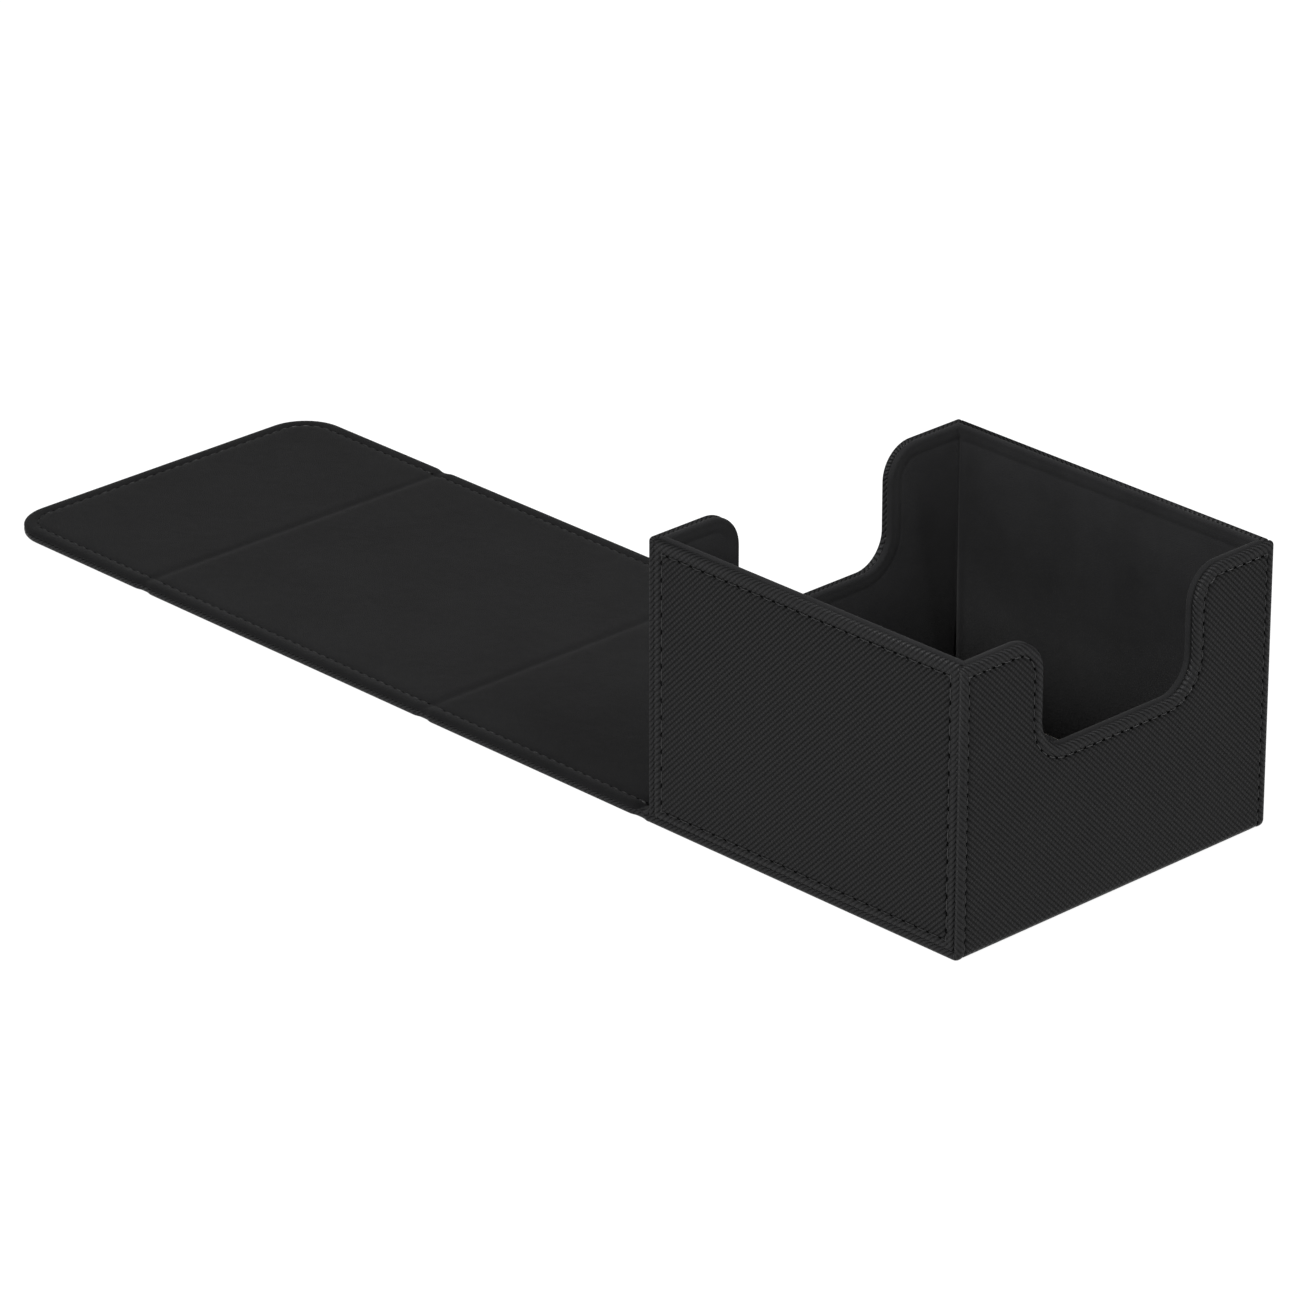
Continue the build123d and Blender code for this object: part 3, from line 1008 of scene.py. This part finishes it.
# %% Node trees for stitches and holes
def seam_tree(name, shape_maker, finish):
    """A tree that repeats a shape along a line; shape_maker adds the shape's own nodes."""
    tree = bpy.data.node_groups.new(name, "GeometryNodeTree")
    for label, kind, default in (("Line", "NodeSocketGeometry", None),
                                 ("Pitch", "NodeSocketFloat", 3.8 * mm),
                                 ("Length", "NodeSocketFloat", 2.6 * mm),
                                 ("Radius", "NodeSocketFloat", 0.19 * mm),
                                 ("Arch", "NodeSocketFloat", 0.12 * mm),
                                 ("Sag", "NodeSocketFloat", 0.0),
                                 ("Facing", "NodeSocketVector", None)):
        socket = tree.interface.new_socket(label, in_out="INPUT", socket_type=kind)
        if default is not None:
            socket.default_value = default
    tree.interface.new_socket("Seam", in_out="OUTPUT", socket_type="NodeSocketGeometry")
    given = tree.nodes.new("NodeGroupInput")
    chain = node(tree, "GeometryNodeMeshToCurve", {"Mesh": given.outputs["Line"]})
    spaced = node(tree, "GeometryNodeCurveToPoints",
                  {"Curve": chain.outputs[0], "Length": given.outputs["Pitch"]}, mode="LENGTH")
    follow = node(tree, "FunctionNodeAlignRotationToVector",
                  {"Vector": spaced.outputs["Tangent"]}, axis="X")
    face = node(tree, "FunctionNodeAlignRotationToVector",
                {"Rotation": follow.outputs[0], "Vector": given.outputs["Facing"]},
                axis="Z", pivot_axis="X")
    shape = shape_maker(tree, given)
    placed = node(tree, "GeometryNodeInstanceOnPoints",
                  {"Points": spaced.outputs["Points"], "Instance": shape,
                   "Rotation": face.outputs[0]})
    solid = node(tree, "GeometryNodeRealizeInstances", {0: placed.outputs[0]})
    painted = node(tree, "GeometryNodeSetMaterial", {0: solid.outputs[0], "Material": finish})
    out = tree.nodes.new("NodeGroupOutput")
    tree.links.new(painted.outputs[0], out.inputs["Seam"])
    return tree


def thread_shape(tree, given):
    """A short thread that comes up out of one hole and goes down into the next."""
    half = maths(tree, "MULTIPLY", given.outputs["Length"], 0.5)
    back = maths(tree, "MULTIPLY", half, -1.0)
    buried = maths(tree, "MULTIPLY", given.outputs["Radius"], -1.6)
    start = node(tree, "ShaderNodeCombineXYZ", {0: back, 2: buried}).outputs[0]
    middle = node(tree, "ShaderNodeCombineXYZ",
                  {1: given.outputs["Sag"], 2: given.outputs["Arch"]}).outputs[0]
    end = node(tree, "ShaderNodeCombineXYZ", {0: half, 2: buried}).outputs[0]
    bow = node(tree, "GeometryNodeCurveQuadraticBezier",
               {"Resolution": 6, "Start": start, "Middle": middle, "End": end})
    ring = node(tree, "GeometryNodeCurvePrimitiveCircle",
                {"Resolution": 7, "Radius": given.outputs["Radius"]})
    tube = node(tree, "GeometryNodeCurveToMesh",
                {"Curve": bow.outputs[0], "Profile Curve": ring.outputs[0], "Fill Caps": True})
    smooth = node(tree, "GeometryNodeSetShadeSmooth", {0: tube.outputs[0]})
    return smooth.outputs[0]


def hole_shape(tree, given):
    """A flat dark pit, a painted shade for the hole, half a pitch further along than the stitch."""
    ball = node(tree, "GeometryNodeMeshUVSphere",
                {"Segments": 8, "Rings": 4, "Radius": given.outputs["Radius"]})
    shift = maths(tree, "MULTIPLY", given.outputs["Pitch"], 0.5)
    place = node(tree, "ShaderNodeCombineXYZ", {0: shift}).outputs[0]
    pit = node(tree, "GeometryNodeTransform",
               {"Geometry": ball.outputs["Mesh"], "Translation": place,
                "Scale": (1.7, 1.0, 0.3)})
    smooth = node(tree, "GeometryNodeSetShadeSmooth", {0: pit.outputs[0]})
    return smooth.outputs[0]


thread_tree = seam_tree("thread_along_seam", thread_shape, thread)
hole_tree = seam_tree("holes_along_seam", hole_shape, needle_hole)
print("stitch trees", len(thread_tree.nodes), len(hole_tree.nodes))


# %% Sewing a line
def sew(tree, line, facing, **sizes):
    """Run a seam tree along one line of points, in mm, and return the mesh it makes."""
    path_mesh = bpy.data.meshes.new("seam_line")
    edges = [(step, step + 1) for step in range(len(line) - 1)]
    path_mesh.from_pydata([Vector(point) * mm for point in line], edges, [])
    carrier = bpy.data.objects.new("seam_line", path_mesh)
    bpy.context.scene.collection.objects.link(carrier)
    modifier = carrier.modifiers.new("seam", "NODES")
    modifier.node_group = tree
    numbers = {item.name: item.identifier for item in tree.interface.items_tree
               if item.in_out == "INPUT"}
    for label, value in sizes.items():
        modifier[numbers[label.capitalize()]] = value * mm
    modifier[numbers["Facing"]] = facing
    depsgraph = bpy.context.evaluated_depsgraph_get()
    made = bpy.data.meshes.new_from_object(carrier.evaluated_get(depsgraph))
    carrier.modifiers.remove(modifier)
    bpy.data.objects.remove(carrier)
    bpy.data.meshes.remove(path_mesh)
    return made


def join_meshes(name, meshes, finish):
    """Merge the meshes of several seams into one object."""
    form = bmesh.new()
    for mesh in meshes:
        form.from_mesh(mesh)
        bpy.data.meshes.remove(mesh)
    joined = bpy.data.meshes.new(name)
    form.to_mesh(joined)
    form.free()
    joined.materials.clear()
    joined.materials.append(finish)
    piece = bpy.data.objects.new(name, joined)
    bpy.context.scene.collection.objects.link(piece)
    return piece


def sew_seams(name, body, seams, *nodes):
    """All the thread and all the needle holes of one body, from a list of seams."""
    threads, holes = [], []
    for line, facing, pitch, length, sag, pit in seams:
        threads.append(sew(thread_tree, line, facing, pitch=pitch, length=length,
                           radius=0.14, arch=0.2, sag=sag))
        holes.append(sew(hole_tree, line, facing, pitch=pitch, radius=pit))
    thread_piece = join_meshes(name + "_thread", threads, thread)
    hole_piece = join_meshes(name + "_needle_holes", holes, needle_hole)
    print(name, len(thread_piece.data.polygons), len(hole_piece.data.polygons))
    for piece in (thread_piece, hole_piece):
        if body:
            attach(piece, body)
    if nodes:
        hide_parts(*nodes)
    return thread_piece, hole_piece


# %% Seams of the box
seam_sink = 0.36
thread_sag = 0.3
box_seams = []
front_half_seam = front_half - face_seam_side
front_top = height - face_seam_top
front_low = wall_foot + face_seam_foot
for face_y, facing in ((-half_depth + seam_sink, (0, -1, 0)), (half_depth - seam_sink, (0, 1, 0))):
    level = [(-front_half_seam, face_y, front_top), (front_half_seam, face_y, front_top)]
    foot = [(-front_half_seam, face_y, front_low), (front_half_seam, face_y, front_low)]
    box_seams.append((level, facing, 3.85, 3.3, -thread_sag, 0.3))
    box_seams.append((foot, facing, 3.85, 3.3, -thread_sag, 0.3))
    for x in (-front_half_seam, front_half_seam):
        upright = [(x, face_y, front_low), (x, face_y, front_top)]
        box_seams.append((upright, facing, 4.35, 3.4, 0.0, 0.36))
for face_x, facing in ((right - seam_sink, (1, 0, 0)), (left + seam_sink, (-1, 0, 0))):
    over = thumb_outline(side_seam_top, side_seam_end)[4:-4]
    half = half_depth - side_seam_end
    top, foot = height - side_seam_top, wall_foot + 1.0
    line = [(face_x, -half, foot), (face_x, -half, top)]
    box_seams.append((line, facing, 3.05, 2.3, 0.0, 0.26))
    line = [(face_x, across, up) for across, up in over]
    line[0] = (face_x, -half, top)
    line[-1] = (face_x, half, top)
    box_seams.append((line, facing, 3.05, 2.5, 0.0, 0.3))
    line = [(face_x, half, top), (face_x, half, foot)]
    box_seams.append((line, facing, 3.05, 2.3, 0.0, 0.26))
sew_seams("box", "tray", box_seams, "front_wall_stitching", "back_wall_stitching",
          "left_wall_stitching", "right_wall_stitching")

# %% Seams of the cover
cover_pitch = 3.05
cover_stitch = (cover_pitch, 2.2, 0.0, 0.24)
thread_sink = 0.3
thread_below = 0.27


def cover_lines(low, high):
    """The two straight seam lines of a strip, above and below, from low to high."""
    lines = []
    across = half_depth - cover_seam
    for v in (-across, across):
        for z, facing in ((panel_top - thread_sink, (0, 0, 1)), (thread_below, (0, 0, -1))):
            lines.append(([(low, v, z), (high, v, z)], facing, *cover_stitch))
    return lines


def crease_lines(low, high):
    """The seam lines of a strip over a fold, which follow its valley and its drawn-in edge."""
    above, below = [], []
    for u in strip_feet(low, high, 16):
        if u > left - cover_pitch / 2:
            break
        across = half_depth - drawn_out(u, cover_seam) - notch(u)
        dip = valley(u) * (1 - thread_sink / edge_depth)
        above.append((u, across, panel_top - thread_sink - dip))
        below.append((u, across, thread_below))
    lines = []
    for side in (-1, 1):
        for chain, facing in ((above, (0, 0, 1)), (below, (0, 0, -1))):
            line = [(u, side * v, z) for u, v, z in chain]
            lines.append((line, facing, *cover_stitch))
    return lines


for panel in ("side_panel", "top_panel"):
    sew_seams(panel, panel, cover_lines(*spans[panel]), panel + "_stitching")

low, high = spans["end_flap"]
flap_seams = []
for z, facing in ((panel_top - thread_sink, (0, 0, 1)), (thread_below, (0, 0, -1))):
    outline = flap_path([high], low)(cover_seam, cover_seam)
    flap_seams.append(([(u, v, z) for u, v in outline], facing, *cover_stitch))
sew_seams("end_flap", "end_flap", flap_seams, "end_flap_stitching")

for crease, (near_body, far_body) in crease_bodies.items():
    low, high = spans[crease]
    for piece in sew_seams(crease, None, crease_lines(low, high)):
        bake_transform(piece)
